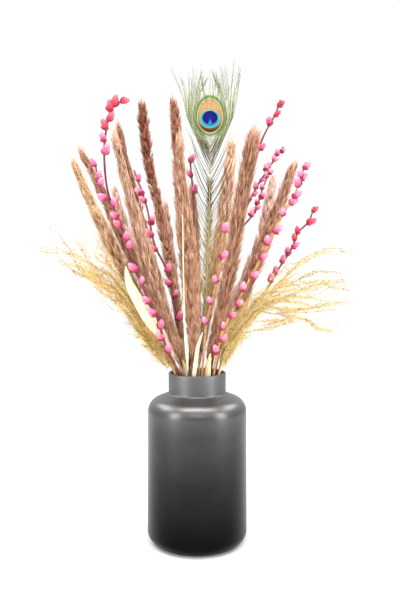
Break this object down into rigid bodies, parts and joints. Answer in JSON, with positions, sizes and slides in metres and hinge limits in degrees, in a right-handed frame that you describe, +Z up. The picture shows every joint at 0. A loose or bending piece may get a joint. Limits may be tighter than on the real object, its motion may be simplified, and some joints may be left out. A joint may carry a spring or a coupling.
{
  "type": "dried pampas grass in vase",
  "caption": "Dried bouquet of pampas plumes, pink pussy willow, a peacock feather and golden grass standing in a satin grey bottle vase, for display on a table.",
  "frame": {"origin": "middle of the vase's flat foot", "axes": "+Z up, +X to the viewer's right, +Y away from the viewer"},
  "size_m": [0.511, 0.2445, 0.805],
  "materials": {
    "vase_glass": "opaque satin grey coloured glass",
    "pampas_golden": "dry golden plume, matt",
    "pampas_tan": "dry tan plume, matt",
    "pampas_brown": "dry brown plume, matt",
    "pampas_red_brown": "dry red-brown plume, matt",
    "pampas_pale": "dry pale plume, matt",
    "willow": "pink dyed downy catkins on dark red and tan bark",
    "feather": "olive barbs with a blue and bronze eye, soft sheen",
    "golden_grass": "straw yellow dry grass, matt",
    "dry_leaf": "cream dry leaf, matt"
  },
  "bodies": {
    "root": {"vase": "vase_glass", "pampas_far_left": "pampas_golden", "pampas_left": "pampas_brown", "pampas_left_back": "pampas_pale", "pampas_left_front": "pampas_tan", "pampas_left_inner": "pampas_brown", "pampas_red_brown": "pampas_red_brown", "pampas_tall": "pampas_brown", "pampas_centre_front": "pampas_tan", "pampas_centre_back": "pampas_brown", "pampas_slim": "pampas_brown", "pampas_right_back": "pampas_tan", "pampas_right_front": "pampas_brown", "pampas_right_pale": "pampas_pale", "pampas_far_right": "pampas_brown", "willow_left": "willow", "willow_inner_left": "willow", "willow_centre": "willow", "willow_front": "willow", "willow_right": "willow", "willow_tall_right": "willow", "willow_pink_right": "willow", "willow_far_right": "willow", "peacock_feather": "feather", "grass_left": "golden_grass", "grass_right": "golden_grass", "leaf_broad": "dry_leaf", "leaf_short_left": "dry_leaf", "leaf_short_right": "dry_leaf"}
  },
  "joints": []
}
